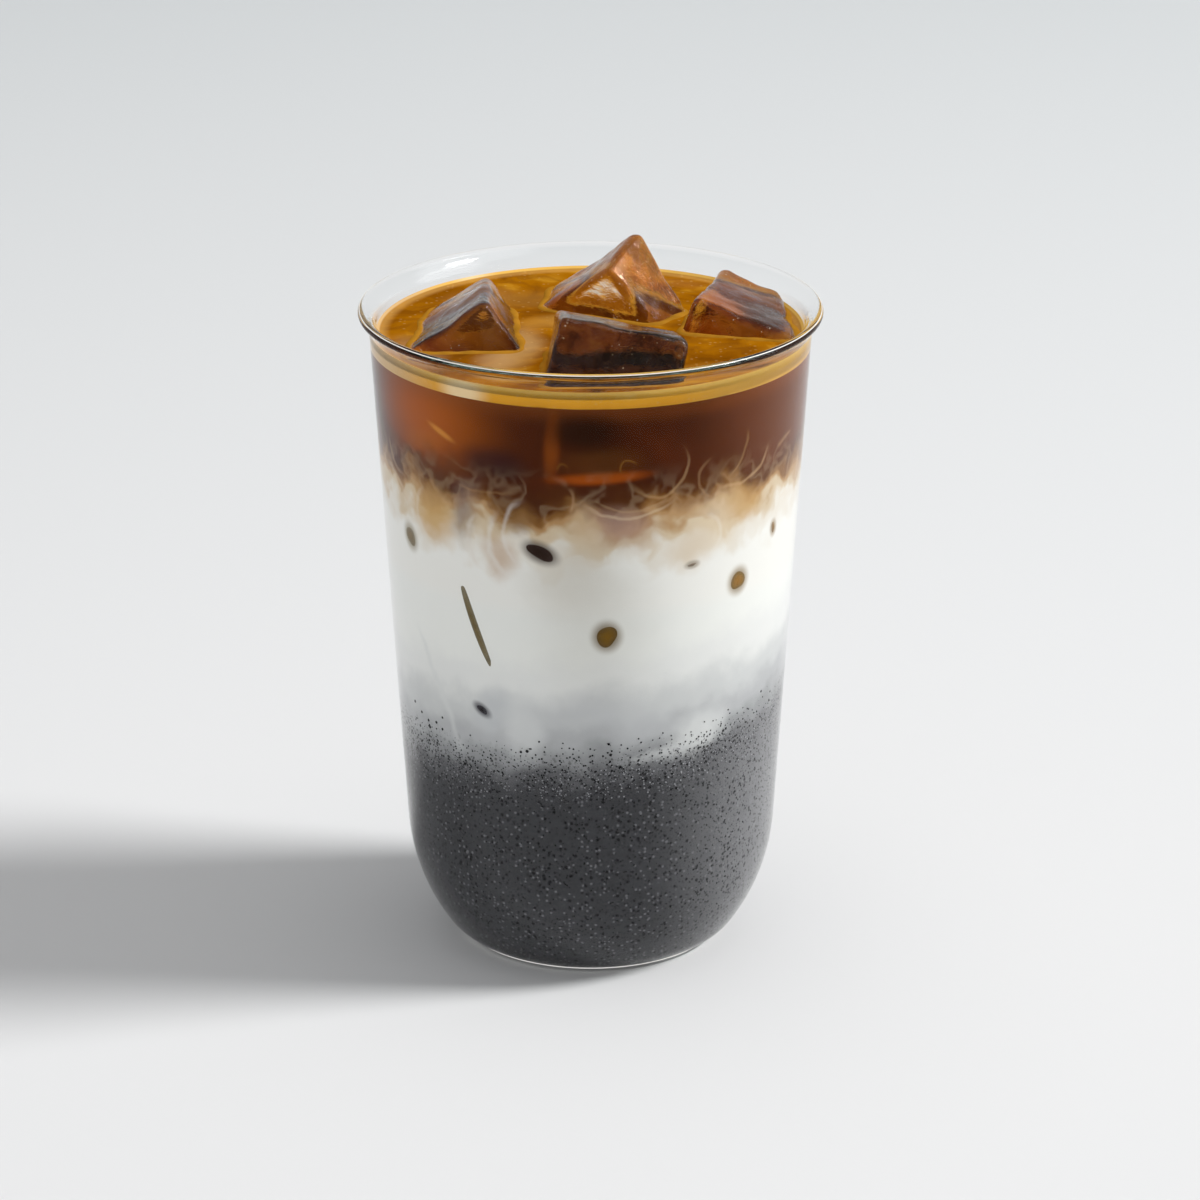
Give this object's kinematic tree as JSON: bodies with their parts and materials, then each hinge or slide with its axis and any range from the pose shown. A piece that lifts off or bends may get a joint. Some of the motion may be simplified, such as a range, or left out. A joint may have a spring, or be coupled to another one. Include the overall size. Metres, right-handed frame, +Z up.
{
  "type": "iced coffee in a glass",
  "caption": "Layered iced coffee in a flared clear tumbler: dark seed base, milk, coffee and thin crema, with clear ice standing out of the top.",
  "frame": {"origin": "centre of the foot's underside, on the table", "axes": "+Z up along the glass's axis, -Y towards the drinker"},
  "size_m": [0.085, 0.085, 0.1314],
  "materials": {
    "glass": "clear, fire-polished",
    "sesame": "dark speckled liquid",
    "milk": "opaque liquid",
    "coffee": "dark liquid",
    "crema": "fine foam, wet",
    "ice": "clear, melting"
  },
  "bodies": {
    "root": {"glass": "glass", "sesame": "sesame", "milk": "milk", "coffee": "coffee", "crema": "crema", "ice_left": "ice", "ice_back": "ice", "ice_right": "ice", "ice_front": "ice"}
  },
  "joints": []
}
